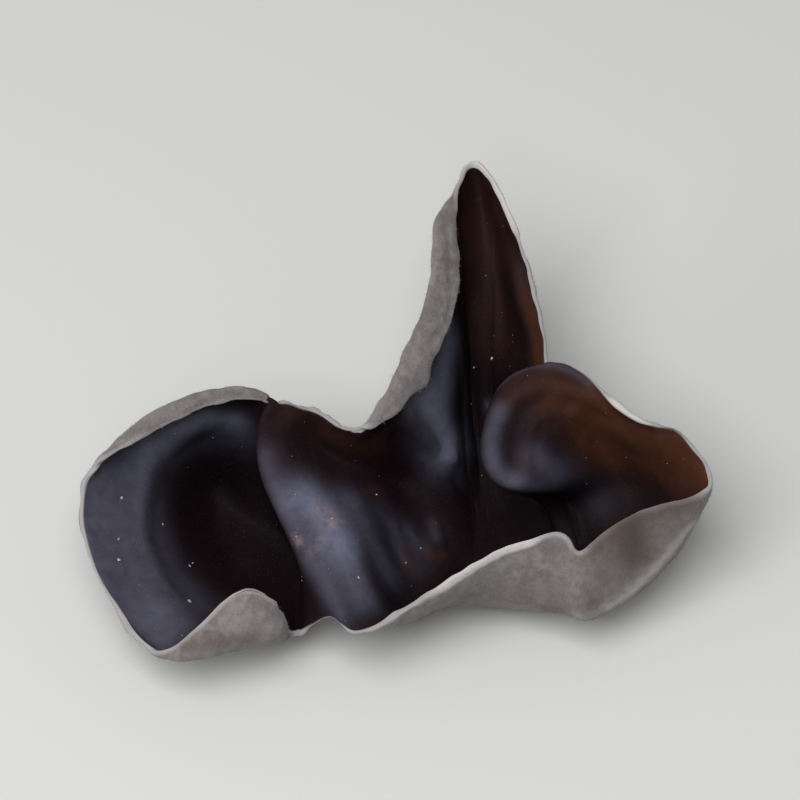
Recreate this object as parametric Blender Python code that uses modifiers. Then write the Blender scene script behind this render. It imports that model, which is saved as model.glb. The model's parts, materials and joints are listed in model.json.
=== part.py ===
"""One dried wood ear mushroom: a thin wavy ear, 52 mm wide, folded into four hollows.

The ear is a single skin. It is drawn as sections from its near margin to its far margin, which
shape a coarse cage. Subdivision smooths the cage, Solidify gives the skin its thickness, and the
stub that held the ear to its log is drawn out of the underside.
"""
import math

import bmesh
import bpy
import numpy as np
from mathutils import Vector, noise

NAME = "wood_ear"
EAR_NODE = "ear"

# Sizes in mm. The skin thins over MARGIN_TAPER towards its free margin.
SKIN_THICKNESS = 0.8
MARGIN_THICKNESS = 0.5
MARGIN_TAPER = 4.0
UNEVENNESS = 0.22
UNEVENNESS_LENGTH = 6.5
# What hangs lower than FOOT_SINK over the ground lies flat on it, under a floor of full thickness.
GROUND_HEIGHT = 2.0
FOOT_SINK = 0.2
FLOOR_HEIGHT = 0.5
STUB_PLACE = (-6.6, -18.2)
STUB_ROOT = 3.4
STUB_BLUNTNESS = 1.5
STUB_LENGTH = 3.4
PUCKER_REACH = 11.0
PUCKER_DEPTH = 0.35
PUCKERS = 13
# The smooth surface passes each cage point at these shares of the point before, itself and after.
SMOOTH_SHARES = (1 / 6, 4 / 6, 1 / 6)
CAGE_FIT_PASSES = 60
FINE_LEVELS = 2
MM = 0.001

EAR_COLOUR = (0.045, 0.038, 0.045, 1.0)
EAR_ROUGHNESS = 0.55

# The ear was measured on a picture taken from in front, 53 degrees above level. A point of the skin
# is given as its column and row in that picture and its height in mm over a level just below the
# ground. One picture pixel is 0.245 mm at the middle of the ear.
MM_PER_PIXEL = 0.245
CENTRE_COLUMN = 338.0
CENTRE_ROW = 470.0
VIEW_ELEVATION = math.radians(53.0)
VIEW_DISTANCE = 550.0
AIM_DEPTH = -6.3
AIM_HEIGHT = 10.0

# Each entry is a section through the ear, from its near margin over the floor to its far margin.
SECTIONS = [
    # left rim
    [(243, 541, 8.4), (237, 532.5, 9), (232.5, 521, 10), (230.6, 509, 11),
     (231.3, 499.5, 11.9), (234, 494, 12.6), (237.5, 490.3, 13.2)],
    # left hollow
    [(255, 554, 7.9), (254.5, 551.5, 7.2), (247, 531, 7.8), (243.5, 508, 9),
     (243.5, 490.5, 11), (244, 482.8, 13.9), (246.5, 485.3, 14)],
    [(269, 547.2, 9.8), (269.5, 556, 7.8), (262, 533, 5.8), (257.5, 503, 6.6),
     (261.5, 483.5, 10.5), (264.5, 470.4, 16.2), (267, 474.3, 15.8)],
    [(282.5, 534.2, 11.7), (283.5, 553.2, 7.6), (279, 532, 3), (274, 503, 2.8),
     (278, 482, 9.8), (281, 466.2, 17.2), (283, 470, 16.8)],
    [(294.5, 537, 10.9), (297, 550.8, 6.4), (296, 530, 2.6), (289.5, 508, 3),
     (287, 485, 9.4), (289, 467, 17.2), (290.5, 470.4, 16.9)],
    [(302, 549, 5.8), (304.5, 545, 4.4), (306.5, 525, 4), (300.5, 510, 5.2),
     (293.5, 489, 9.8), (294.3, 471.3, 16.3), (295.2, 470.3, 17)],
    # left edge, crest and right flank of the long ridge
    [(312.5, 543.5, 7.6), (310.5, 536, 9), (304.5, 523, 10.4), (297.7, 509, 11.4),
     (291, 490, 12.8), (293, 474.8, 15.9), (299, 470.3, 16.8)],
    [(318, 545.5, 9.4), (316.5, 534, 10.2), (312, 520, 11.2), (306, 505, 12),
     (300, 489, 12.8), (300, 478, 14.8), (304, 471.2, 16.5)],
    [(323.5, 549, 9.6), (325, 538, 9), (324, 523, 9.7), (319, 506, 10.4),
     (313, 491, 10.8), (309, 481, 12.8), (310, 472.5, 16.1)],
    [(334, 544, 10.3), (335.5, 545, 8), (338, 534, 4.6), (331, 506, 7),
     (325, 494, 9), (317, 484, 12.4), (316.5, 477, 15.5)],
    [(345, 537, 11.4), (346.5, 540.3, 8), (351, 530, 3), (343, 506, 4.8),
     (337, 493, 7.2), (326.5, 483, 13.2), (324, 479.9, 14.9)],
    # left side of the tall lobe
    [(359.5, 527.3, 12.6), (360.5, 538, 6), (360.5, 527, 2.4), (355.5, 497, 4.8),
     (347.5, 475, 11.4), (334.5, 466, 16), (340.5, 471, 15.2)],
    [(371, 520.6, 13.4), (371, 538.7, 5.2), (367, 524, 2.3), (361.5, 487, 3),
     (356.3, 447, 12.2), (348.5, 432, 18.5), (357, 438.5, 17.2)],
    [(377, 518, 13.8), (376.5, 539.3, 5.3), (371, 521, 2.5), (364, 483, 3.2),
     (359.8, 431, 13.4), (350.5, 409, 20), (357.3, 414, 18.9)],
    # tip and right side of the tall lobe, which runs on under the nose
    [(382, 516.5, 14), (382, 540, 5.4), (374.5, 518, 2.7), (367, 482, 3.8),
     (364.5, 435, 12.6), (362.5, 406, 16.6), (360.5, 390.3, 20.5)],
    [(385, 515.2, 14.2), (385.5, 540.6, 5.5), (378, 515, 2.9), (371, 484, 4),
     (369, 444, 11), (369.5, 413, 15.6), (370.5, 397, 20)],
    [(388, 514.2, 14.2), (388.5, 541, 5.5), (382, 512, 3.4), (376, 487, 4.8),
     (374.5, 457, 9.6), (375, 431, 13.6), (379.5, 417, 19)],
    [(391, 513.8, 14.1), (391.5, 541.2, 5.5), (386, 510, 3.9), (380.5, 490, 5.8),
     (378.5, 468, 9.2), (380, 449, 12.4), (385.8, 443, 17.4)],
    [(394, 514.8, 13.9), (394.5, 541.4, 5.6), (390, 508, 4.4), (382, 492, 7.8),
     (379, 477, 10), (382, 466, 11.8), (388, 457.5, 14.8)],
    # left edge and top of the nose
    [(396.3, 517.5, 13.4), (397.5, 542, 5.8), (390, 506, 5.4), (371, 497.5, 12),
     (366.6, 480.5, 14.2), (374, 464.2, 16), (389, 457, 17.3)],
    [(399, 520.3, 12.9), (401, 542.3, 5.9), (394, 506, 5.4), (382, 499.5, 12.8),
     (378.5, 484, 14.8), (383.5, 470.5, 16.2), (394.5, 457.2, 17.4)],
    # right hollow
    [(406, 514.5, 13.8), (408, 540.2, 6), (401.5, 508.5, 5.8), (395, 496.5, 11.2),
     (392.5, 484, 13.2), (394.5, 472.5, 15.4), (402.5, 462.3, 17.1)],
    [(418, 507.3, 14.5), (419, 533.3, 7), (411.5, 507.5, 6.8), (408, 494, 8.9),
     (405.5, 483, 11.3), (406.5, 474, 14.6), (409.5, 469, 17.1)],
    [(432, 503.6, 14.8), (431, 519, 9), (425, 505, 8.3), (422, 495, 9.9),
     (419.5, 487.5, 12.4), (419.5, 481, 15.2), (420, 476.2, 17.2)],
    # right rim
    [(442.5, 500.5, 15.1), (443.8, 497.5, 15.4), (443.4, 494, 15.8), (441.8, 490.5, 16.2),
     (439, 486.8, 16.5), (435.5, 483, 16.8), (431.5, 479, 17)],
]


def remove_scene_objects():
    for thing in list(bpy.data.objects):
        bpy.data.objects.remove(thing, do_unlink=True)


def place_seen(column, row, height):
    """Place, in mm, of the point seen at a column and row of the picture and at a known height."""
    sine = math.sin(VIEW_ELEVATION)
    cosine = math.cos(VIEW_ELEVATION)
    up = height - AIM_HEIGHT
    seen_up = (CENTRE_ROW - row) * MM_PER_PIXEL
    back = seen_up * (VIEW_DISTANCE - sine * up) - VIEW_DISTANCE * cosine * up
    back /= VIEW_DISTANCE * sine - seen_up * cosine
    towards_view = sine * up - cosine * back
    across = (column - CENTRE_COLUMN) * MM_PER_PIXEL * (VIEW_DISTANCE - towards_view) / VIEW_DISTANCE
    return across, back + AIM_DEPTH, height


def smooth_places(cage):
    """Where the smooth surface passes, for each point of its cage."""
    before, itself, after = SMOOTH_SHARES
    along = cage.copy()
    along[1:-1] = before * cage[:-2] + itself * cage[1:-1] + after * cage[2:]
    both = along.copy()
    both[:, 1:-1] = before * along[:, :-2] + itself * along[:, 1:-1] + after * along[:, 2:]
    return both


def cage_through(places):
    """Push the cage out until its smooth surface passes through the places."""
    cage = places.copy()
    for _ in range(CAGE_FIT_PASSES):
        cage += places - smooth_places(cage)
    return cage


def fade(distance, reach):
    """1 at the middle of a soft form, 0 from its reach on, with no edge between."""
    share = np.clip(1 - distance / reach, 0, 1)
    return share * share * (3 - 2 * share)


def read_places(mesh):
    places = np.empty(len(mesh.vertices) * 3)
    mesh.vertices.foreach_get("co", places)
    return places.reshape(-1, 3) / MM


def write_places(mesh, places):
    mesh.vertices.foreach_set("co", (places * MM).ravel())
    mesh.update()


def vertex_normals(mesh):
    normals = np.empty(len(mesh.vertices) * 3)
    mesh.vertex_normals.foreach_get("vector", normals)
    return normals.reshape(-1, 3)


def with_modifiers_applied(thing):
    """Bake the object's modifiers into its mesh."""
    depsgraph = bpy.context.evaluated_depsgraph_get()
    mesh = bpy.data.meshes.new_from_object(thing.evaluated_get(depsgraph))
    thing.modifiers.clear()
    thing.data = mesh
    return mesh


def make_skin(collection):
    """The ear as a sheet with no thickness, smoothed from its cage of sections."""
    places = np.array([[place_seen(*seen) for seen in section] for section in SECTIONS])
    cage = cage_through(places) * MM
    sections, rows = cage.shape[:2]
    shape = bmesh.new()
    bmesh.ops.create_grid(shape, x_segments=sections - 1, y_segments=rows - 1, size=1.0)
    shape.verts.ensure_lookup_table()
    for row in range(rows):
        for section in range(sections):
            shape.verts[row * sections + section].co = cage[section, row]
    mesh = bpy.data.meshes.new(EAR_NODE)
    shape.to_mesh(mesh)
    shape.free()
    ear = bpy.data.objects.new(EAR_NODE, mesh)
    collection.objects.link(ear)
    smooth = ear.modifiers.new("smooth", "SUBSURF")
    smooth.levels = FINE_LEVELS
    smooth.render_levels = FINE_LEVELS
    smooth.boundary_smooth = "ALL"
    bpy.context.view_layer.update()
    with_modifiers_applied(ear)
    return ear


def leave_uneven(ear):
    """Leave the skin slightly uneven, as it dries."""
    places = read_places(ear.data)
    normals = vertex_normals(ear.data)
    waves = np.array([noise.noise(Vector(place) / UNEVENNESS_LENGTH) for place in places])
    places += normals * (waves * UNEVENNESS)[:, None]
    write_places(ear.data, places)


def margin_places(mesh):
    """The places of the vertices on the free edge of the sheet."""
    shape = bmesh.new()
    shape.from_mesh(mesh)
    found = [tuple(vertex.co / MM) for vertex in shape.verts if vertex.is_boundary]
    shape.free()
    return np.array(found)


def thicken_skin(ear):
    """Give the sheet its thickness, thinner towards the margin."""
    places = read_places(ear.data)
    margin = margin_places(ear.data)
    thickness = ear.vertex_groups.new(name="thickness")
    margin_share = MARGIN_THICKNESS / SKIN_THICKNESS
    for index, place in enumerate(places):
        distance = np.linalg.norm(margin - place, axis=1).min()
        share = margin_share + (1 - margin_share) * min(distance / MARGIN_TAPER, 1)
        thickness.add([index], share, "REPLACE")
    thick = ear.modifiers.new("thick", "SOLIDIFY")
    thick.thickness = SKIN_THICKNESS * MM
    thick.offset = 0.0
    thick.vertex_group = thickness.name
    bpy.context.view_layer.update()
    with_modifiers_applied(ear)
    ear.vertex_groups.clear()
    return len(places)


def draw_out_stub(ear, sheet_count):
    """Pucker the outside round the old fixing point and draw the short stub out of it."""
    places = read_places(ear.data)
    outside = places[sheet_count:]
    normals = vertex_normals(ear.data)[sheet_count:]
    away = outside[:, :2] - np.array(STUB_PLACE)
    distance = np.linalg.norm(away, axis=1)
    angle = np.arctan2(away[:, 1], away[:, 0])
    folds = np.cos(PUCKERS * angle) * fade(distance, PUCKER_REACH) * PUCKER_DEPTH
    outside += normals * folds[:, None]
    below = normals[:, 2] < 0
    drawn = np.clip(fade(distance[below], STUB_ROOT) * STUB_BLUNTNESS, 0, 1)
    outside[below, 2] -= drawn * STUB_LENGTH
    places[sheet_count:] = outside
    write_places(ear.data, places)


def set_on_ground(ear, sheet_count):
    """Flatten what reaches the ground, and put the middle of the ear's box over the origin."""
    places = read_places(ear.data)
    places[:, 2] -= GROUND_HEIGHT
    inside, outside = places[:sheet_count], places[sheet_count:]
    inside[:, 2] = np.maximum(inside[:, 2], FLOOR_HEIGHT)
    outside[outside[:, 2] < FOOT_SINK, 2] = 0.0
    middle = (places.min(axis=0) + places.max(axis=0)) / 2
    places[:, :2] -= middle[:2]
    write_places(ear.data, places)


def dried_skin_material():
    material = bpy.data.materials.new("dried skin")
    material.use_nodes = True
    surface = material.node_tree.nodes["Principled BSDF"]
    surface.inputs["Base Color"].default_value = EAR_COLOUR
    surface.inputs["Roughness"].default_value = EAR_ROUGHNESS
    surface.inputs["Metallic"].default_value = 0.0
    material.diffuse_color = EAR_COLOUR
    return material


remove_scene_objects()
collection = bpy.data.collections.new(NAME)
bpy.context.scene.collection.children.link(collection)
ear = make_skin(collection)
leave_uneven(ear)
sheet_count = thicken_skin(ear)
draw_out_stub(ear, sheet_count)
set_on_ground(ear, sheet_count)
ear.data.materials.clear()
ear.data.materials.append(dried_skin_material())
ear.data.shade_smooth()
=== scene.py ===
# %% [markdown]
# A dried wood ear is a thin skin that curls as it dries. Inside it is smooth, dark and faintly
# dusty, and outside it is covered with short grey felt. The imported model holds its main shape:
# the left hollow with its rolled wall, the long ridge, the valley, the tall lobe with its trough,
# the rounded nose, and the right hollow behind the near lip. This script keeps that shape and
# gives it a smooth surface, the finer folds, the felt, the dust, and two finishes.

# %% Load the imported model
import json
import math
import random

import bpy
import numpy as np
from mathutils import Matrix, Vector, noise
from mathutils.bvhtree import BVHTree
from mathutils.kdtree import KDTree

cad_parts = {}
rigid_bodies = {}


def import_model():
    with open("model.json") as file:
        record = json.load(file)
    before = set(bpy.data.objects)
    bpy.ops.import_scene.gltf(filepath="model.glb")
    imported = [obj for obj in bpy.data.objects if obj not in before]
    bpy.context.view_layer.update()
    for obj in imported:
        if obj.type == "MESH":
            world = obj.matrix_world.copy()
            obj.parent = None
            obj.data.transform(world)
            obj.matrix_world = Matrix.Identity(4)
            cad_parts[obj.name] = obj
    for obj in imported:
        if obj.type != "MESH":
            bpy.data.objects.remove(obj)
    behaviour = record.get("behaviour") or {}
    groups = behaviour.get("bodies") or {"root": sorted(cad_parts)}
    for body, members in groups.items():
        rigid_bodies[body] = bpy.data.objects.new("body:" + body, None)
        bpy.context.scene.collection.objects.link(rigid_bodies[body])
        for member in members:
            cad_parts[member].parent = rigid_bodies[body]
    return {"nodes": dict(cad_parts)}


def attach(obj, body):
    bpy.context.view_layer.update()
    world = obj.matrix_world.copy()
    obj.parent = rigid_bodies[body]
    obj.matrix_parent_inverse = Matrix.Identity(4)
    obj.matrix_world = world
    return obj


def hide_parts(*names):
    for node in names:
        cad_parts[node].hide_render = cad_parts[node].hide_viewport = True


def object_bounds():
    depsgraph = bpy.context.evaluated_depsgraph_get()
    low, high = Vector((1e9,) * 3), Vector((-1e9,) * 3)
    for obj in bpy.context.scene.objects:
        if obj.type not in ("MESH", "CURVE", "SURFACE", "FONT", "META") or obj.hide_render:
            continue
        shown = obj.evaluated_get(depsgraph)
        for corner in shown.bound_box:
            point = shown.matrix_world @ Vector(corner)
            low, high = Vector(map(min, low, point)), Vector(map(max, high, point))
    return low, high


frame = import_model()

cad_low, cad_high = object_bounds()
MM = 0.001
print("solid box in mm", [round(side / MM, 1) for side in cad_high - cad_low])

# %% [markdown]
# The camera comes first, because some folds are placed by where they are seen. It looks down at
# 53 degrees from in front, as the picture does, from far enough away to keep the perspective
# flat. A long lens frames the ear.

# %% Camera at the viewing angle
VIEW_ELEVATION = math.radians(53.0)
VIEW_DISTANCE = 550 * MM
VIEW_WIDTH = 66.15 * MM
SENSOR_WIDTH = 36.0
aim = Vector((0.345, 3.955, 8.0)) * MM
towards_camera = Vector((0.0, -math.cos(VIEW_ELEVATION), math.sin(VIEW_ELEVATION)))

bpy.ops.object.select_all(action="DESELECT")
bpy.ops.object.camera_add(location=aim + towards_camera * VIEW_DISTANCE)
camera = bpy.context.object
camera.name = "camera"
camera.rotation_euler = (-towards_camera).to_track_quat("-Z", "Y").to_euler()
camera.data.sensor_width = SENSOR_WIDTH
camera.data.lens = SENSOR_WIDTH * VIEW_DISTANCE / VIEW_WIDTH
camera.data.clip_start = 0.01
bpy.context.scene.camera = camera
print("lens", round(camera.data.lens, 1), "mm")

# %% [markdown]
# The skin could be drawn again from nothing, but its folds would then drift from the solid that
# carries the collision. So a copy of the solid is the start. Its loose triangles are merged and
# turned back into quads, because Subdivision Surface rounds a quad grid without ripples.

# %% Copy the solid and merge it into quads
node = frame["nodes"]["ear"]
ear = bpy.data.objects.new("ear_skin", node.data.copy())
bpy.context.scene.collection.objects.link(ear)
ear.data.materials.clear()


def only(thing):
    """Select one object alone and make it the active one."""
    bpy.ops.object.select_all(action="DESELECT")
    thing.select_set(True)
    bpy.context.view_layer.objects.active = thing


MERGE_DISTANCE = 0.002 * MM
GRID_INFLUENCE = 2.0
only(ear)
if ear.data.has_custom_normals:
    bpy.ops.mesh.customdata_custom_splitnormals_clear()
bpy.ops.object.mode_set(mode="EDIT")
bpy.ops.mesh.select_all(action="SELECT")
bpy.ops.mesh.remove_doubles(threshold=MERGE_DISTANCE)
bpy.ops.mesh.tris_convert_to_quads(
    face_threshold=math.pi, shape_threshold=math.pi, topology_influence=GRID_INFLUENCE)
bpy.ops.mesh.select_all(action="DESELECT")
bpy.ops.object.mode_set(mode="OBJECT")
corners = [len(face.vertices) for face in ear.data.polygons]
print(len(ear.data.vertices), "points,", corners.count(4), "quads,", corners.count(3), "triangles")

# %% [markdown]
# The two sides of the skin need to be told apart, since one is smooth and one is felt. Painting
# them by hand would work, but the free margin already divides them: its two sharp edges run all
# the way round. They are found by their angle and marked as seams.

# %% Mark the margin's edges as seams
MARGIN_ANGLE = math.radians(50)
only(ear)
bpy.ops.object.mode_set(mode="EDIT")
bpy.context.tool_settings.mesh_select_mode = (False, True, False)
bpy.ops.mesh.select_all(action="DESELECT")
bpy.ops.mesh.edges_select_sharp(sharpness=MARGIN_ANGLE)
bpy.ops.mesh.mark_seam()
bpy.context.tool_settings.mesh_select_mode = (False, False, True)
bpy.ops.mesh.select_all(action="DESELECT")
bpy.ops.object.mode_set(mode="OBJECT")
print(sum(edge.use_seam for edge in ear.data.edges), "edges marked as seams")

# %% [markdown]
# Selecting what is linked to one face, up to a seam, then gives a whole side. A ray straight down
# meets the inside first and the outside just below it, which gives a face of each to start from.
# A tight crease may be cut off by seams of its own, so what lies inside one side joins that side.

# %% Tell the inside from the outside
INSIDE_PLACE = Vector((3.0, -8.0, 5.0)) * MM
STEP_INTO_SKIN = 0.1 * MM


def surface_tree(mesh):
    """A search tree that answers where a ray meets the mesh."""
    return BVHTree.FromPolygons(
        [vertex.co for vertex in mesh.vertices], [face.vertices[:] for face in mesh.polygons])


def side_faces(start):
    """The faces linked to one face without crossing the margin's seams."""
    only(ear)
    bpy.ops.object.mode_set(mode="EDIT")
    bpy.ops.mesh.select_all(action="DESELECT")
    bpy.ops.object.mode_set(mode="OBJECT")
    ear.data.polygons[start].select = True
    bpy.ops.object.mode_set(mode="EDIT")
    bpy.ops.mesh.select_linked(delimit={"SEAM"})
    bpy.ops.object.mode_set(mode="OBJECT")
    return [face.index for face in ear.data.polygons if face.select]


tree = surface_tree(ear.data)
down = Vector((0, 0, -1))
hit, _, inside_start, _ = tree.ray_cast(INSIDE_PLACE, down)
_, _, outside_start, _ = tree.ray_cast(hit + down * STEP_INTO_SKIN, down)
inside_faces = side_faces(inside_start)
outside_faces = side_faces(outside_start)
touched = [set() for _ in ear.data.vertices]
for faces, side in ((inside_faces, "in"), (outside_faces, "out")):
    for index in faces:
        for corner in ear.data.polygons[index].vertices:
            touched[corner].add(side)
taken = set(inside_faces) | set(outside_faces)
for face in ear.data.polygons:
    sides = set().union(*(touched[corner] for corner in face.vertices))
    if face.index not in taken and sides == {"in"}:
        inside_faces.append(face.index)
    if face.index not in taken and sides == {"out"}:
        outside_faces.append(face.index)
print(len(inside_faces), "inside faces,", len(outside_faces), "outside faces")
print("of", len(ear.data.polygons))

# %% [markdown]
# Later steps ask of each point which side it is on and how open it lies, since the hollows get
# painted shade where little sky is in view. Both are kept on the mesh as attributes, which
# Subdivision Surface blends and materials can read. Openness is the share of rays that leave a
# point upwards and get away.

# %% Keep the side and the openness of each point
SKY_RAYS = 48
SKY_START = 0.12 * MM


def store(mesh, name, values):
    """Keep a number for each point of the mesh."""
    attribute = mesh.attributes.get(name) or mesh.attributes.new(name, "FLOAT", "POINT")
    attribute.data.foreach_set("value", np.asarray(values, dtype=np.float32))


def recall(mesh, name):
    """Read back a number for each point of the mesh."""
    values = np.zeros(len(mesh.vertices), dtype=np.float32)
    mesh.attributes[name].data.foreach_get("value", values)
    return values.astype(float)


def sky_directions(count):
    """Directions spread evenly over the upper half, denser overhead."""
    golden = math.pi * (3 - math.sqrt(5))
    directions = []
    for step in range(count):
        height = math.sqrt((step + 0.5) / count)
        side = math.sqrt(1 - height * height)
        turn = golden * step
        directions.append(Vector((side * math.cos(turn), side * math.sin(turn), height)))
    return directions


def openness(mesh):
    """The share of sky that each point sees."""
    tree = surface_tree(mesh)
    rays = sky_directions(SKY_RAYS)
    shares = []
    for vertex in mesh.vertices:
        start = vertex.co + vertex.normal * SKY_START
        free = sum(tree.ray_cast(start, ray)[0] is None for ray in rays)
        shares.append(free / SKY_RAYS)
    return shares


outside_share = np.full(len(ear.data.vertices), 0.5)
for faces, share in ((inside_faces, 0.0), (outside_faces, 1.0)):
    for index in faces:
        outside_share[list(ear.data.polygons[index].vertices)] = share
store(ear.data, "outside", outside_share)
store(ear.data, "open_sky", openness(ear.data))
print("mean openness", round(float(recall(ear.data, "open_sky").mean()), 2))

# %% [markdown]
# Two levels of Subdivision Surface turn the solid's facets, each nearly a millimetre long, into a
# skin with a point every fifth of a millimetre. That is fine enough for wrinkles in the mesh.

# %% Smooth the skin
SMOOTH_LEVELS = 2
inside_set = set(inside_faces)
for face in ear.data.polygons:
    face.material_index = 0 if face.index in inside_set else 1
only(ear)
bpy.ops.object.modifier_add(type="SUBSURF")
ear.modifiers[-1].levels = SMOOTH_LEVELS
ear.modifiers[-1].render_levels = SMOOTH_LEVELS
bpy.ops.object.modifier_apply(modifier=ear.modifiers[-1].name)
bpy.ops.object.shade_smooth()
print(len(ear.data.polygons), "quads in the smooth skin")

# %% [markdown]
# The margin is a case of its own: it frills more than the rest, and its rim is pale, partly its own
# dry colour and partly a painted highlight. So each point keeps how far it lies from the margin's
# edge. That edge is where the two sides have blended, and a search tree finds its nearest point
# quickly.

# %% Measure how far each point is from the margin
MARGIN_BLEND = 0.02


def read_points(mesh):
    """The mesh's points in mm."""
    points = np.empty(len(mesh.vertices) * 3, dtype=np.float32)
    mesh.vertices.foreach_get("co", points)
    return points.reshape(-1, 3).astype(float) / MM


def write_points(mesh, points):
    """Move the mesh's points to places in mm, kept inside the solid's box."""
    kept = np.clip(points * MM, np.array(cad_low), np.array(cad_high))
    mesh.vertices.foreach_set("co", kept.astype(np.float32).ravel())
    mesh.update()


def read_normals(mesh):
    """The mesh's normals, one for each point."""
    normals = np.empty(len(mesh.vertices) * 3, dtype=np.float32)
    mesh.vertex_normals.foreach_get("vector", normals)
    return normals.reshape(-1, 3).astype(float)


outside = recall(ear.data, "outside")
points = read_points(ear.data)
margin_points = [
    index for index, share in enumerate(outside) if MARGIN_BLEND < share < 1 - MARGIN_BLEND]
margin_tree = KDTree(len(margin_points))
for index in margin_points:
    margin_tree.insert(points[index], index)
margin_tree.balance()
from_margin = np.array([margin_tree.find(point)[2] for point in points])
store(ear.data, "from_margin", from_margin)
print(len(margin_points), "points on the margin's edge")

# %% [markdown]
# Some folds are too narrow for the solid, and the finishes need each mark in its right place. Both
# are named by where the camera sees them, in columns and rows about a quarter of a millimetre
# apart. A ray from the camera finds the skin there, and a line through such places is a stroke.

# %% Find places on the skin as the camera sees them
PIXEL = 0.245 * MM
CENTRE_COLUMN = 338.0
CENTRE_ROW = 470.0
NOSE_PLACE = (388, 487)
view_up = Vector((0.0, math.sin(VIEW_ELEVATION), math.cos(VIEW_ELEVATION)))


def seen(tree, column, row):
    """The place on the skin, in mm, that the camera sees at a column and row."""
    target = aim + Vector((1, 0, 0)) * (column - CENTRE_COLUMN) * PIXEL
    target += view_up * (CENTRE_ROW - row) * PIXEL
    hit = tree.ray_cast(camera.location, (target - camera.location).normalized())[0]
    return None if hit is None else np.array(hit) / MM


def stroke_line(tree, places, gap=0.3):
    """Points about gap mm apart along a stroke through the seen places."""
    found = [seen(tree, *place) for place in places]
    found = [place for place in found if place is not None]
    line = []
    for start, end in zip(found, found[1:]):
        steps = max(2, int(np.linalg.norm(end - start) / gap))
        line += [start + (end - start) * step / steps for step in range(steps)]
    return line + found[-1:]


def distance_to(points, line):
    """How far each point is from the nearest place of the line, in mm."""
    near = np.full(len(points), np.inf)
    for place in line:
        near = np.minimum(near, ((points - place) ** 2).sum(axis=1))
    return np.sqrt(near)


def nearness(points, line, width):
    """1 on the line, 0 at its width from it and beyond."""
    share = np.clip(1 - distance_to(points, line) / width, 0, 1)
    return share * share * (3 - 2 * share)


tree = surface_tree(ear.data)
print("the nose is at", seen(tree, *NOSE_PLACE).round(1), "mm")

# %% [markdown]
# A real crease is round at its bottom, and the solid's tightest ones are sharp. They are rounded
# before anything is drawn, on the inside only: the bottom of the trough, the fold under the nose,
# and the pinched margin beside the long ridge and by the tall lobe's foot.

# %% Round the tightest creases
# Each crease is its width in mm, its smoothing passes and the places that it passes.
CREASE_SHARE = 0.05
CREASES = [
    (2.0, 140, [(363, 412), (363, 440), (363.5, 465), (364, 492), (368, 503)]),
    (2.0, 120, [(383, 502), (388, 507), (393, 513)]),
    (0.9, 16, [(294, 471), (297, 471)]),
    (0.9, 16, [(324, 479), (328, 479)]),
]


def relax(chosen, passes):
    """Smooth the chosen points with the Smooth Vertices operator."""
    only(ear)
    bpy.ops.object.mode_set(mode="EDIT")
    bpy.context.tool_settings.mesh_select_mode = (True, False, False)
    bpy.ops.mesh.select_all(action="DESELECT")
    bpy.ops.object.mode_set(mode="OBJECT")
    ear.data.vertices.foreach_set("select", chosen)
    bpy.ops.object.mode_set(mode="EDIT")
    bpy.ops.mesh.vertices_smooth(factor=0.5, repeat=passes)
    bpy.ops.object.mode_set(mode="OBJECT")
    return read_points(ear.data)


for width, passes, places in CREASES:
    line = stroke_line(tree, places)
    in_crease = (nearness(points, line, width) > CREASE_SHARE) & (outside < 0.5)
    points = relax(in_crease, passes)
print(len(CREASES), "creases rounded")

# %% [markdown]
# The narrow folds are drawn as strokes. The skin near a stroke moves along its own normal, most in
# the middle and not at all at the stroke's edge. Sculpting would do the same by hand, but would
# not repeat exactly. A wide stroke reaches the far side of the thin skin too, so both sides bend
# together.

# %% Draw the narrow folds
# Each stroke is its height in mm, its width in mm and the places that it passes.
STROKES = [
    # soft crest inside the left rim
    (0.4, 2.2, [(268, 480), (258, 487), (252, 496), (250, 507), (250.5, 518), (254, 529), (260, 539)]),
    # rounded foot of the tall lobe's left wall, and the groove that ends it
    (0.6, 2.2, [(345, 462), (349, 474), (353.5, 484)]),
    (0.35, 1.3, [(342, 477), (348, 483.5), (356, 489.5)]),
    (-0.55, 1.3, [(337, 483), (344, 488.5), (351, 493), (358, 497)]),
    # groove round the inner mound of the nose
    (-0.45, 1.4, [(377.5, 496), (376.5, 488), (377.5, 480), (381, 474), (387, 471), (394, 472.5)]),
    # inner mound of the nose
    (0.22, 2.4, [(385, 487), (388, 490), (392, 493)]),
    # second, fainter ring on the nose
    (-0.16, 0.9, [(384, 492), (383.5, 484), (387, 478), (393, 478), (398, 483)]),
    # rounded band along the top of the nose
    (0.22, 1.3, [
        (370, 491), (369.5, 482), (373, 472), (380, 465.5), (390, 463.5), (399, 467), (407, 473)]),
    # second fold line of the tall lobe's rolled band
    (-0.16, 0.5, [
        (353.5, 409), (354.5, 418), (355.3, 428), (355.6, 438), (353.5, 445), (349, 450), (341, 458)]),
    # soft fold down the far wall of the right hollow
    (0.25, 1.2, [(427, 483), (428, 490), (427, 498)]),
    # small creases low on the ridge's flank
    (-0.10, 0.6, [(336, 514), (338, 519), (339, 525)]),
    (-0.10, 0.6, [(344, 513), (346, 518), (347, 523)]),
    (-0.10, 0.6, [(352, 511), (354, 516), (355, 520)]),
    # crease below the small notch of the near lip
    (-0.2, 1.0, [(398, 521.5), (399, 527), (402, 533)]),
    # low crest along the near lip's lower edge
    (0.2, 1.6, [
        (400, 543), (405, 542), (414, 536.5), (423, 528.5), (431, 519.5), (438, 511), (443, 503)]),
    # shallow hollow in the right part of the near lip
    (-0.3, 1.8, [(420, 511), (420, 518), (417, 526)]),
    # rounded end of the club-shaped curl
    (0.35, 2.0, [(289, 539), (294, 541), (297, 545)]),
    # long soft folds of the near lip
    (0.16, 1.4, [(352, 536), (366, 530), (380, 526), (392, 526)]),
    (-0.14, 1.2, [(360, 540), (374, 535), (388, 532)]),
]


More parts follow.
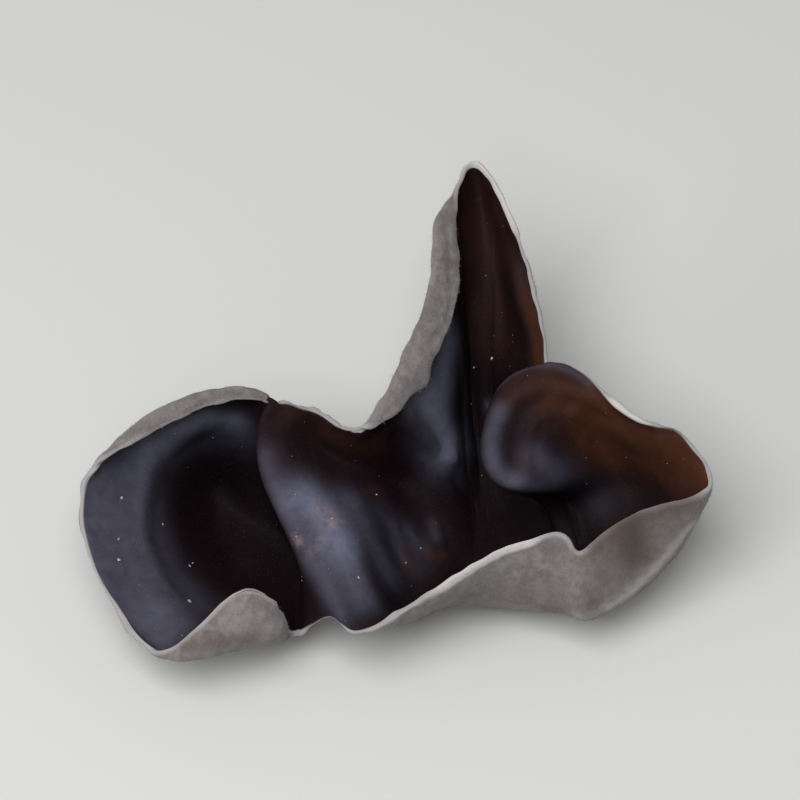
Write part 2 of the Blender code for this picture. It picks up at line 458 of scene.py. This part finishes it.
def towards_seen_side(points, line):
    """Normals that point out of the side that the line lies on, for the points of both sides."""
    first = np.argmin(np.linalg.norm(points - line[0], axis=1))
    same_side = 1 - 2 * np.abs(outside - round(outside[first]))
    return read_normals(ear.data) * same_side[:, None]


tree = surface_tree(ear.data)
for height, width, places in STROKES:
    line = stroke_line(tree, places)
    points += towards_seen_side(points, line) * (nearness(points, line, width) * height)[:, None]
    write_points(ear.data, points)
print(len(STROKES), "strokes drawn")

# %% [markdown]
# Dried skin is never even. The felt side has small wrinkles that run out from the stub and low
# rings round it, where growth paused. The smooth side is nearly even, with faint veins. Both come
# from noise. It is read in the directions seen from the stub, so it is drawn out into streaks.

# %% Read the noise round the stub
STUB = np.array((-6.25, -7.95, 4.0))
STREAKS_ROUND_STUB = 9.0
FINE_STREAKS_ROUND_STUB = 23.4
STREAK_LENGTH = 7.0
FINE_STREAK_LENGTH = 5.0
RINGS_ROUND_STUB = 1.6
RING_GAP = 1.0
PIT_SIZE = 0.8
LUMP_SIZE = 2.2
WAVE_SIZE = 3.6
FRILL_SIZE = 1.5


def soft_noise(places):
    """Smooth noise between -1 and 1 at each place."""
    return np.array([noise.noise(Vector(place)) for place in places])


from_stub = points - STUB
reach = np.linalg.norm(from_stub, axis=1)
plan_reach = np.maximum(np.linalg.norm(from_stub[:, :2], axis=1), 0.5)
direction = from_stub[:, :2] / plan_reach[:, None]
streaks = soft_noise(np.column_stack([direction * STREAKS_ROUND_STUB, reach / STREAK_LENGTH]))
fine_streaks = soft_noise(np.column_stack([
    direction * FINE_STREAKS_ROUND_STUB, reach / FINE_STREAK_LENGTH + 9.0]))
rings = soft_noise(np.column_stack([direction * RINGS_ROUND_STUB, reach / RING_GAP]))
pits = soft_noise(points / PIT_SIZE)
lumps = soft_noise(points / LUMP_SIZE + 7.0)
waves = soft_noise(points / WAVE_SIZE + 31.0)
frill = soft_noise(points / FRILL_SIZE + 53.0)
store(ear.data, "streaks", streaks * 0.5 + 0.5)
print("streaks from", round(float(streaks.min()), 2), "to", round(float(streaks.max()), 2))

# %% [markdown]
# The skin moves along its normals by this noise. A bump in the material would be cheaper, but it
# would not show on the margin's outline. The shared height lifts one side as much as it lowers the
# other, so the skin keeps its thickness, and the places that touch the ground stay as they are.

# %% Wrinkle both sides
SMOOTH_ROUND_STUB = 5.0
FRILL_REACH = 2.0
GROUND_CLEARANCE = 0.7
away_from_stub = np.clip(reach / SMOOTH_ROUND_STUB - 0.4, 0, 1)
on_margin = np.clip(1 - from_margin / FRILL_REACH, 0, 1)

# Heights in mm.
felt_height = 0.07 * lumps + 0.05 * pits
felt_height += (0.12 * streaks + 0.06 * fine_streaks + 0.04 * rings) * away_from_stub
smooth_height = 0.03 * lumps + (0.03 * streaks + 0.02 * fine_streaks) * away_from_stub
own_height = outside * felt_height + (1 - outside) * smooth_height
shared_height = 0.16 * waves + 0.22 * frill * on_margin
lifted = points[:, 2] > GROUND_CLEARANCE
normals = read_normals(ear.data)
moves = normals * (own_height + shared_height * (1 - 2 * outside))[:, None]
points[lifted] += moves[lifted]
write_points(ear.data, points)
print("wrinkles up to", round(float(np.linalg.norm(moves, axis=1).max()), 2), "mm")

# %% [markdown]
# Each finish is a Principled shader fed by noise and by attributes of the mesh. The same few nodes
# come back in all of them, so a small class adds one and links it in a single line. The noise reads
# Object coordinates, so the patterns stay put from every side.

# %% Small helpers for the finishes
PER_MM = 1000.0


class Finish:
    """A material whose nodes are added one after another and linked as they are made."""

    def __init__(self, name):
        self.material = bpy.data.materials.new(name)
        self.material.use_nodes = True
        self.nodes = self.material.node_tree.nodes
        self.links = self.material.node_tree.links
        self.shader = self.nodes["Principled BSDF"]
        self.place = self.nodes.new("ShaderNodeTexCoord").outputs["Object"]

    def link(self, value, socket):
        if isinstance(value, bpy.types.NodeSocket):
            self.links.new(value, socket)
        else:
            socket.default_value = value

    def noise(self, size, detail=3.0, roughness=0.55):
        """Noise between 0 and 1 whose lumps are about size mm across."""
        node = self.nodes.new("ShaderNodeTexNoise")
        node.inputs["Scale"].default_value = PER_MM / size
        node.inputs["Detail"].default_value = detail
        node.inputs["Roughness"].default_value = roughness
        self.links.new(self.place, node.inputs["Vector"])
        return node.outputs["Fac"]

    def attribute(self, name):
        node = self.nodes.new("ShaderNodeAttribute")
        node.attribute_name = name
        return node.outputs["Fac"]

    def between(self, value, low, high, to_low=0.0, to_high=1.0):
        """Stretch the value so that low gives to_low and high gives to_high, clamped."""
        node = self.nodes.new("ShaderNodeMapRange")
        node.clamp = True
        self.link(value, node.inputs["Value"])
        ends = {"From Min": low, "From Max": high, "To Min": to_low, "To Max": to_high}
        for name, number in ends.items():
            node.inputs[name].default_value = number
        return node.outputs["Result"]

    def maths(self, operation, one, two):
        node = self.nodes.new("ShaderNodeMath")
        node.operation = operation
        self.link(one, node.inputs[0])
        self.link(two, node.inputs[1])
        return node.outputs["Value"]

    def mix(self, share, one, two):
        """Blend two colours: share 0 gives the first, 1 the second."""
        node = self.nodes.new("ShaderNodeMix")
        node.data_type = "RGBA"
        self.link(share, node.inputs["Factor"])
        for value, name in ((one, "A"), (two, "B")):
            socket = next(item for item in node.inputs if item.name == name and item.type == "RGBA")
            self.link(value if isinstance(value, bpy.types.NodeSocket) else (*value, 1.0), socket)
        return next(item for item in node.outputs if item.type == "RGBA")

    def bump(self, height, distance):
        """Lean the shading by a height field, whose full swing is distance mm."""
        node = self.nodes.new("ShaderNodeBump")
        node.inputs["Distance"].default_value = distance * MM
        self.link(height, node.inputs["Height"])
        self.links.new(node.outputs["Normal"], self.shader.inputs["Normal"])


# %% [markdown]
# Marks are brushed on, as a painter would: the blue-grey bloom where dust lies, with painted
# highlights in it; orange brown where the skin is thin, partly its own brown and partly painted
# glow of light coming through the dried jelly; pink flecks; painted brown shade on the felt; and
# painted highlights along the rim and the near lip's lower edge.

# %% List the marks
# Each mark is its strength, its width in mm and the places that it passes.
MARKS = {
    # Bloom is dust, and also painted highlight where light catches the surface.
    "bloom_and_highlight": [
        # left wall, with a painted highlight along its crest
        (0.36, 4.6, [(236, 492), (233, 504), (234, 517), (239, 530), (247, 542), (256, 550)]),
        (0.28, 3.6, [(247, 489), (243, 500), (243, 512), (246, 524), (253, 535), (262, 543)]),
        (0.22, 1.3, [(252, 494), (250, 505), (251, 517), (256, 529), (264, 538)]),
        (0.2, 3.4, [(257, 489), (254, 503), (256, 516), (262, 529), (269, 538)]),
        # far wall of the left hollow
        (0.5, 2.4, [(252, 485), (262, 479), (272, 476), (281, 477)]),
        (0.14, 3.2, [(262, 488), (273, 484), (284, 482)]),
        # flank of the long ridge, with its painted highlight
        (0.85, 3.4, [(306, 503), (310, 507), (315, 513), (318, 519)]),
        (0.45, 3.4, [(318, 519), (321, 527), (324, 535)]),
        (0.2, 2.2, [(292, 490), (296, 498), (301, 508), (306, 518), (312, 530), (318, 542)]),
        (0.4, 3.0, [(322, 506), (328, 516), (333, 527)]),
        # faint haze and streaks low on the flank's right side
        (0.16, 3.0, [(331, 508), (337, 517), (341, 524)]),
        (0.2, 1.1, [(335, 513), (338, 523)]),
        (0.14, 1.3, [(341, 514), (345, 520)]),
        (0.16, 1.0, [(349, 512), (350, 516)]),
        # left foot of the tall lobe, with its painted highlight
        (1.0, 3.2, [(341, 461), (345, 468), (349, 476), (354, 486)]),
        (0.75, 3.4, [(354, 450), (353, 464)]),
        (0.12, 1.6, [(358, 452), (359.5, 470), (361, 486)]),
        # right wall of the tall lobe's trough, faintly
        (0.17, 2.2, [(378, 428), (382, 442), (385, 452)]),
        # far wall of the right hollow, beside the nose
        (0.08, 2.8, [(399, 496), (404, 503)]),
        # painted highlights on the nose
        (0.32, 1.6, [(371, 474), (368.5, 480), (368, 487), (370, 493), (375, 497)]),
        (0.24, 0.7, [
            (367.5, 472), (371, 466), (376, 461.5), (382, 459), (389, 458), (396, 460), (402, 464)]),
        (0.2, 2.4, [(384, 489), (389, 493), (393, 495)]),
        (0.2, 1.5, [(376, 498), (384, 500), (390, 500)]),
    ],
    # Orange brown: partly the skin's own brown, partly painted glow of light coming through where it
    # is thin.
    "thin_glow_and_brown": [
        # painted glow on the right wall of the tall lobe's trough, and the brown of its floor
        (0.3, 1.6, [(371, 406), (374, 418)]),
        (0.65, 2.0, [(376, 423), (379, 433)]),
        (1.0, 3.2, [(381, 438), (384, 447), (385, 454)]),
        (0.24, 4.2, [(364, 398), (365, 415), (367, 432), (370, 448)]),
        # painted glow on the far wall of the right hollow
        (1.0, 3.8, [(408, 476), (416, 481), (425, 485), (434, 490), (440, 494)]),
        (0.55, 3.4, [(412, 488), (422, 492), (432, 496)]),
        # painted glow on top of the nose
        (0.27, 2.8, [(376, 467), (382, 463), (390, 461), (398, 465), (403, 471)]),
        (0.6, 3.0, [(390, 470), (397, 473), (401, 480), (403, 486)]),
        # long ridge and foot of the tall lobe under the far margin
        (0.25, 2.4, [(302, 476), (313, 480), (322, 486), (331, 486)]),
        # brown flecks low on the ridge's flank
        (0.4, 1.1, [(340, 522), (341, 527)]),
        (0.3, 1.0, [(347, 523), (352, 522)]),
        (0.3, 1.0, [(326, 500), (330, 501)]),
    ],
    "fleck": [
        (0.5, 0.9, [(303, 516), (304, 518)]),
        (0.6, 1.2, [(312, 507), (315, 511)]),
        (0.35, 0.8, [(309, 521), (312, 517)]),
    ],
    # Painted shade on the felt, in brown.
    "felt_shade": [
        # painted shade along the lower edge of the near lip
        (0.55, 1.4, [(345, 544), (360, 541), (375, 541.5), (390, 541), (403, 538)]),
        # painted shade in the near lip's right part
        (0.9, 3.2, [(410, 511), (415, 514), (418, 522)]),
        (0.45, 3.2, [(408, 513), (413, 519)]),
        (0.5, 3.0, [(420, 512), (427, 508), (434, 505)]),
        (0.4, 2.6, [(404, 520), (406, 530)]),
        # painted shade dulling the near lip's edge, right of the notch
        (0.5, 1.3, [(403, 519), (410, 513), (418, 509), (427, 506), (436, 504)]),
        (0.36, 3.0, [(360, 538), (376, 536), (392, 535)]),
        # painted shade along the lower edge of the club-shaped curl
        (0.5, 1.2, [(266, 553), (276, 552), (288, 551)]),
    ],
    # Painted highlights along the rim, where light catches it.
    "rim_highlight": [
        (1.0, 2.0, [(364, 390), (369, 395), (373, 403), (375.5, 412)]),
        (0.9, 1.6, [(406, 466), (411, 471.5), (418, 475.5), (426, 478), (434, 481), (440, 488)]),
        (0.9, 1.8, [(352, 532), (362, 526), (372, 521), (381, 518)]),
    ],
    "lip_highlight": [
        # painted highlight along the near lip's lower edge, fading towards both ends
        (0.2, 1.0, [
            (398, 543), (405, 542), (414, 536.5), (423, 528.5), (431, 519.5), (438, 511), (443, 503)]),
        (0.35, 0.8, [(409, 540), (414, 536.5), (423, 528.5), (431, 519.5), (437, 512)]),
    ],
}
print(sum(len(marks) for marks in MARKS.values()), "marks of", len(MARKS), "kinds")

# %% [markdown]
# A mark is strongest on its line and fades out softly, as a dry brush does. Marks of one kind lie
# over each other like thin coats, each covering a share of what is still bare. The result is one
# number for each point and kind, kept on the mesh for the finishes.

# %% Brush the marks on
BRUSH_FADE = 3.0


def brushed(points, tree, marks):
    """How far the marks cover each point, from 0 to 1."""
    bare = np.ones(len(points))
    for strength, width, places in marks:
        line = stroke_line(tree, places, gap=width / 4)
        if line:
            spread = distance_to(points, line) / width
            bare *= 1 - strength * np.exp(-BRUSH_FADE * spread ** 2)
    return 1 - bare


tree = surface_tree(ear.data)
for name, marks in MARKS.items():
    cover = brushed(points, tree, marks)
    store(ear.data, name, cover)
    print(name, "covers", int((cover > 0.3).sum()), "points")

# %% [markdown]
# The smooth side is the jelly that dried. It is nearly black plum, with painted shade that makes it
# darkest in the hollows, a blue-grey bloom of dust and spores that also carries painted highlights,
# and orange brown where the skin is thin, partly its own colour and partly a painted glow of light
# coming through. One colour with gloss would look like plastic, so the colours are laid over each
# other as layers, each with its own share: jelly, painted hollow shade, bloom and highlights, brown
# and glow, flecks, dust grains, and the pale rim with its painted highlights.

# %% The smooth side
RIM_GREY = (0.29, 0.275, 0.272)
RIM_HIGHLIGHT = (0.50, 0.48, 0.47)
HIGHLIGHT_REACH = 0.4


def pale_rim(finish, colour, fades_at, full_at, most):
    """The colour with a pale rim along the margin, wider and paler where a highlight is painted on it.
    """
    rim_highlight = finish.attribute("rim_highlight")
    reach = finish.maths(
        "SUBTRACT", finish.attribute("from_margin"), finish.maths("MULTIPLY", rim_highlight, HIGHLIGHT_REACH))
    share = finish.between(reach, fades_at, full_at, 0.0, most)
    return finish.mix(share, colour, finish.mix(rim_highlight, RIM_GREY, RIM_HIGHLIGHT))


smooth = Finish("dried_jelly")
cloud = smooth.noise(3.0, detail=4.0)
dapple = smooth.noise(0.9, detail=5.0, roughness=0.6)
grain = smooth.noise(0.15, detail=3.0, roughness=0.7)
jelly = smooth.mix(
    smooth.between(cloud, 0.35, 0.65), (0.0075, 0.0034, 0.0048), (0.0125, 0.0058, 0.0070))
# Painted shade: the jelly turns nearly black where little sky is open, in the hollows.
hollow_shade = smooth.between(smooth.attribute("open_sky"), 0.2, 0.75, 0.9, 0.0)
jelly = smooth.mix(hollow_shade, jelly, (0.0028, 0.0012, 0.0019))
# Blue-grey bloom of dust, with painted highlights laid in the same colour.
bloom_and_highlight = smooth.attribute("bloom_and_highlight")
bloom_and_highlight = smooth.maths("MULTIPLY", bloom_and_highlight, smooth.between(dapple, 0.3, 0.62, 0.78, 1.0))
bloom_and_highlight = smooth.maths(
    "MULTIPLY", bloom_and_highlight, smooth.between(smooth.attribute("streaks"), 0.25, 0.75, 0.85, 1.0))
with_bloom_and_highlight = smooth.mix(bloom_and_highlight, jelly, (0.134, 0.140, 0.200))
# Orange brown: partly the jelly's own brown, partly painted glow of light coming through thin skin.
glow_and_brown_share = smooth.maths(
    "MULTIPLY", smooth.attribute("thin_glow_and_brown"), smooth.between(cloud, 0.3, 0.6, 0.75, 1.0))
with_glow_and_brown = smooth.mix(glow_and_brown_share, with_bloom_and_highlight, (0.054, 0.0185, 0.0085))
flecked = smooth.mix(
    smooth.maths("MULTIPLY", smooth.attribute("fleck"), smooth.between(dapple, 0.4, 0.6)),
    with_glow_and_brown, (0.23, 0.14, 0.15))
grains = smooth.maths(
    "MULTIPLY", smooth.between(grain, 0.62, 0.71, 0.0, 0.5), smooth.between(bloom_and_highlight, 0.1, 0.5, 0.2, 1.0))
dusted = smooth.mix(grains, flecked, (0.21, 0.20, 0.23))
smooth.link(pale_rim(smooth, dusted, 0.2, 0.07, 0.9), smooth.shader.inputs["Base Color"])
smooth.link(smooth.between(dapple, 0.3, 0.7, 0.58, 0.72), smooth.shader.inputs["Roughness"])
smooth.shader.inputs["Specular IOR Level"].default_value = 0.07
smooth.bump(smooth.maths("ADD", dapple, grain), 0.02)
print("smooth side:", len(smooth.nodes), "nodes")

# %% [markdown]
# The felt side is matte warm grey, mottled, with painted shade in its furrows, painted brown shade
# along the near lip, a painted highlight along the lip's lower edge, and a soft sheen from its nap.
# The larger colour changes are noise too, and a fine bump gives the nap between the real hairs that
# come next.

# %% The felt side
FELT_SHADE_BROWN = (0.052, 0.034, 0.026)
felt = Finish("grey_felt")
patches = felt.noise(3.0, detail=4.0)
mottle = felt.noise(0.7, detail=5.0, roughness=0.6)
nap = felt.noise(0.14, detail=3.0, roughness=0.7)
ground = felt.mix(felt.between(patches, 0.35, 0.65), (0.088, 0.074, 0.071), (0.135, 0.117, 0.114))
hazed = felt.mix(felt.between(mottle, 0.42, 0.66, 0.0, 0.75), ground, (0.185, 0.17, 0.17))
napped = felt.mix(felt.between(nap, 0.35, 0.7, 0.0, 0.4), hazed, (0.21, 0.195, 0.2))
# Painted shade in the felt's furrows, where the streaks sink the skin.
furrow_shade = felt.between(felt.attribute("streaks"), 0.15, 0.5, 0.55, 0.0)
furrow_shaded = felt.mix(furrow_shade, napped, (0.06, 0.049, 0.047))
edged = pale_rim(felt, furrow_shaded, 0.45, 0.1, 0.8)
# Painted brown shade on the felt.
felt_shaded = felt.mix(felt.attribute("felt_shade"), edged, FELT_SHADE_BROWN)
# Painted highlight along the near lip's lower edge.
felt.link(
    felt.mix(felt.attribute("lip_highlight"), felt_shaded, (0.42, 0.40, 0.39)),
    felt.shader.inputs["Base Color"])
felt.shader.inputs["Roughness"].default_value = 0.95
felt.shader.inputs["Specular IOR Level"].default_value = 0.2
felt.shader.inputs["Sheen Weight"].default_value = 0.15
felt.shader.inputs["Sheen Roughness"].default_value = 0.6
felt.bump(felt.maths("ADD", mottle, nap), 0.08)
print("felt side:", len(felt.nodes), "nodes")

ear.data.materials.append(smooth.material)
ear.data.materials.append(felt.material)

# %% [markdown]
# Short hairs cover the outside. Particles would be dropped when the model is shared, so each hair
# is a thin closed spike, and Geometry Nodes stands one at each of many scattered points. Hairs
# grow where the skin is all felt, and not on the places that the ear rests on.

# %% Choose where the hairs grow
FELT_SHARE = 0.99
HAIR_LIFT = 0.4 * MM


def is_above(group, value, limit):
    """A node that tells where the value is above the limit."""
    node = group.nodes.new("FunctionNodeCompare")
    node.operation = "GREATER_THAN"
    node.inputs["B"].default_value = limit
    group.links.new(value, node.inputs["A"])
    return node.outputs["Result"]


def where_felt_is(group):
    """The felt side, apart from the places that it stands on."""
    side = group.nodes.new("GeometryNodeInputNamedAttribute")
    side.data_type = "FLOAT"
    side.inputs["Name"].default_value = "outside"
    position = group.nodes.new("GeometryNodeInputPosition")
    split = group.nodes.new("ShaderNodeSeparateXYZ")
    group.links.new(position.outputs["Position"], split.inputs["Vector"])
    both = group.nodes.new("FunctionNodeBooleanMath")
    group.links.new(is_above(group, side.outputs["Attribute"], FELT_SHARE), both.inputs[0])
    group.links.new(is_above(group, split.outputs["Z"], HAIR_LIFT), both.inputs[1])
    return both.outputs["Boolean"]


print("felt on", int((outside > FELT_SHARE).sum()), "of", len(outside), "points")

# %% [markdown]
# The node group scatters points over the felt and stands a hair at each, along the skin's normal
# with a random lean and size. Applying a modifier keeps real mesh alone, so the instances are
# realized, and what is left is one plain mesh.

# %% Scatter hairs with nodes
HAIRS_PER_MM2 = 9.0
HAIR_SIZES = (0.5, 1.25)
HAIR_LEAN = 0.9
HAIR_SEED = 4


def hair_nodes(skin, hair):
    """A node group that scatters the hair over the skin's felt side."""
    group = bpy.data.node_groups.new("scatter_hairs", "GeometryNodeTree")
    group.interface.new_socket("Geometry", in_out="INPUT", socket_type="NodeSocketGeometry")
    group.interface.new_socket("Geometry", in_out="OUTPUT", socket_type="NodeSocketGeometry")
    add = group.nodes.new
    link = group.links.new
    result = add("NodeGroupOutput")
    skin_info = add("GeometryNodeObjectInfo")
    skin_info.inputs["Object"].default_value = skin
    hair_info = add("GeometryNodeObjectInfo")
    hair_info.inputs["Object"].default_value = hair
    scatter = add("GeometryNodeDistributePointsOnFaces")
    scatter.inputs["Density"].default_value = HAIRS_PER_MM2 / (MM * MM)
    scatter.inputs["Seed"].default_value = HAIR_SEED
    link(skin_info.outputs["Geometry"], scatter.inputs["Mesh"])
    link(where_felt_is(group), scatter.inputs["Selection"])
    lean = add("FunctionNodeRandomValue")
    lean.data_type = "FLOAT_VECTOR"
    lean.inputs["Min"].default_value = (-HAIR_LEAN, -HAIR_LEAN, -HAIR_LEAN)
    lean.inputs["Max"].default_value = (HAIR_LEAN, HAIR_LEAN, HAIR_LEAN)
    leaning = add("ShaderNodeVectorMath")
    link(scatter.outputs["Normal"], leaning.inputs[0])
    link(lean.outputs["Value"], leaning.inputs[1])
    turn = add("FunctionNodeAlignRotationToVector")
    turn.axis = "Z"
    link(leaning.outputs["Vector"], turn.inputs["Vector"])
    size = add("FunctionNodeRandomValue")
    size.inputs["Min"].default_value, size.inputs["Max"].default_value = HAIR_SIZES
    stand = add("GeometryNodeInstanceOnPoints")
    link(scatter.outputs["Points"], stand.inputs["Points"])
    link(hair_info.outputs["Geometry"], stand.inputs["Instance"])
    link(turn.outputs["Rotation"], stand.inputs["Rotation"])
    link(size.outputs["Value"], stand.inputs["Scale"])
    realize = add("GeometryNodeRealizeInstances")
    link(stand.outputs["Instances"], realize.inputs["Geometry"])
    link(realize.outputs["Geometry"], result.inputs["Geometry"])
    return group


# %% [markdown]
# One hair is a three-sided spike with its point up. A new cone has its middle at the origin, so it
# is raised until only a tenth of it is left below, which is its root in the skin. The hairs then
# take the place of a plain square, which is only there to carry the node group.

# %% Stand the hairs on the felt side
HAIR_LENGTH = 0.26 * MM
HAIR_RADIUS = 0.016 * MM
HAIR_ROOT = 0.4
bpy.ops.object.select_all(action="DESELECT")
bpy.ops.mesh.primitive_cone_add(
    vertices=3, radius1=HAIR_RADIUS, radius2=0.0, depth=HAIR_LENGTH, end_fill_type="NGON")
one_hair = bpy.context.object
one_hair.data.transform(Matrix.Translation((0, 0, HAIR_LENGTH * HAIR_ROOT)))
bpy.ops.object.select_all(action="DESELECT")
bpy.ops.mesh.primitive_plane_add(size=MM)
hairs = bpy.context.object
hairs.name = "felt_hairs"
only(hairs)
bpy.ops.object.modifier_add(type="NODES")
hairs.modifiers[-1].node_group = hair_nodes(ear, one_hair)
bpy.ops.object.modifier_apply(modifier=hairs.modifiers[-1].name)
bpy.data.objects.remove(one_hair)
write_points(hairs.data, read_points(hairs.data))
print(len(hairs.data.polygons) // 4, "hairs,", len(hairs.data.polygons), "faces")
print("marks that the hairs carry:", sorted(set(MARKS) & set(hairs.data.attributes.keys())))

# %% [markdown]
# The hairs are paler than the skin below them, which gives the felt its frosted look. They carry
# the marks of the point that they stand on, so the painted shade on the felt darkens its hairs too.

# %% The hairs' finish
hair = Finish("felt_hair")
shade = hair.noise(0.9, detail=3.0)
grey = hair.mix(hair.between(shade, 0.35, 0.65), (0.14, 0.127, 0.127), (0.26, 0.245, 0.25))
hair.link(
    hair.mix(hair.attribute("felt_shade"), grey, FELT_SHADE_BROWN), hair.shader.inputs["Base Color"])
hair.shader.inputs["Roughness"].default_value = 0.8
hairs.data.materials.clear()
hairs.data.materials.append(hair.material)

# %% [markdown]
# White specks of dust and crumbled lichen lie on the smooth side. The larger ones are listed with
# their place and their width in mm. Chance scatters the finest, from a seed, so that they fall the
# same way each time.

# %% Choose where the specks lie
SPECKS = [
    (244, 503, 0.40), (243, 517, 0.36), (243, 524, 0.38), (258, 512, 0.26), (267, 526, 0.32),
    (267, 538, 0.44), (268, 525, 0.22), (303, 516, 0.22), (315, 510, 0.20), (330, 502, 0.20),
    (340, 525, 0.22), (324, 530, 0.26), (345, 520, 0.22), (369, 456, 0.36), (363, 459, 0.26),
]
STRAY_SPECKS = 90
STRAY_SIZES = (0.05, 0.11)
SPECK_SEED = 11
random.seed(SPECK_SEED)
inside_places = [index for index in range(len(points)) if outside[index] < MARGIN_BLEND]
speck_places = []
for column, row, size in SPECKS:
    place = seen(tree, column, row)
    if place is not None:
        speck_places.append((place, size))
for _ in range(STRAY_SPECKS):
    place = points[random.choice(inside_places)]
    speck_places.append((place, random.uniform(*STRAY_SIZES)))
print(len(speck_places), "places for specks")

# %% [markdown]
# Each speck is a small ball of twenty faces, flattened and pushed out of round. All are joined to
# one piece, and its place goes into its mesh, so that the piece's own origin is the ear's.

# %% Drop the dust specks
bpy.ops.object.select_all(action="DESELECT")
speck_objects = []
for place, size in speck_places:
    bpy.ops.mesh.primitive_ico_sphere_add(
        subdivisions=1, radius=size / 2 * MM, location=Vector(place) * MM,
        rotation=(random.random() * 6, random.random() * 6, 0), scale=(1.0, 0.8, 0.6))
    speck = bpy.context.object
    for vertex in speck.data.vertices:
        vertex.co *= random.uniform(0.7, 1.25)
    speck_objects.append(speck)
bpy.ops.object.select_all(action="DESELECT")
for speck in speck_objects:
    speck.select_set(True)
bpy.context.view_layer.objects.active = speck_objects[0]
bpy.ops.object.join()
specks = bpy.context.object
specks.name = "dust_specks"
bpy.ops.object.transform_apply(location=True, rotation=True, scale=True)
write_points(specks.data, read_points(specks.data))
dust = Finish("pale_dust")
tint = dust.noise(0.5)
dust.link(
    dust.mix(dust.between(tint, 0.35, 0.65), (0.22, 0.20, 0.20), (0.42, 0.39, 0.38)),
    dust.shader.inputs["Base Color"])
dust.shader.inputs["Roughness"].default_value = 0.9
specks.data.materials.append(dust.material)
print(len(speck_objects), "specks,", len(specks.data.polygons), "faces")

# %% [markdown]
# A plain pale floor shows the ear and its shadow without drawing the eye. It belongs to the stage
# and not to the ear.

# %% Floor
FLOOR_SIDE = 2.0
bpy.ops.object.select_all(action="DESELECT")
bpy.ops.mesh.primitive_plane_add(size=FLOOR_SIDE)
floor = bpy.context.object
floor.name = "floor"
floor_finish = Finish("pale_floor")
floor_finish.shader.inputs["Base Color"].default_value = (0.5, 0.5, 0.49, 1.0)
floor_finish.shader.inputs["Roughness"].default_value = 0.8
floor.data.materials.append(floor_finish.material)
print("floor is", FLOOR_SIDE, "m wide")

# %% [markdown]
# Soft studio light keeps the dark hollows readable. One wide lamp hangs above and a little in
# front, a weak one fills from the left, and an even light from all round lifts the shadows.

# %% Light
SURROUNDING_LIGHT = 0.38


def add_lamp(name, place, size, power):
    """A square soft lamp, placed in mm and pointed at the ear."""
    place = Vector(place) * MM
    bpy.ops.object.light_add(type="AREA", location=place)
    lamp = bpy.context.object
    lamp.name = name
    lamp.data.size = size * MM
    lamp.data.energy = power
    lamp.rotation_euler = (aim - place).to_track_quat("-Z", "Y").to_euler()
    print(name, power, "W")


add_lamp("lamp_above", (-90, -170, 400), 300, 2.2)
add_lamp("lamp_left", (-380, -160, 160), 240, 0.5)
world = bpy.context.scene.world or bpy.data.worlds.new("world")
bpy.context.scene.world = world
world.use_nodes = True
sky = world.node_tree.nodes["Background"]
sky.inputs["Color"].default_value = (1.0, 1.0, 1.0, 1.0)
sky.inputs["Strength"].default_value = SURROUNDING_LIGHT
bpy.context.scene.view_settings.view_transform = "Standard"

# %% [markdown]
# Everything rides on the one body, since nothing moves. The skin stands in for the solid ear.

# %% Say what each piece belongs to
for piece in (ear, hairs, specks):
    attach(piece, "root")
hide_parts("ear")
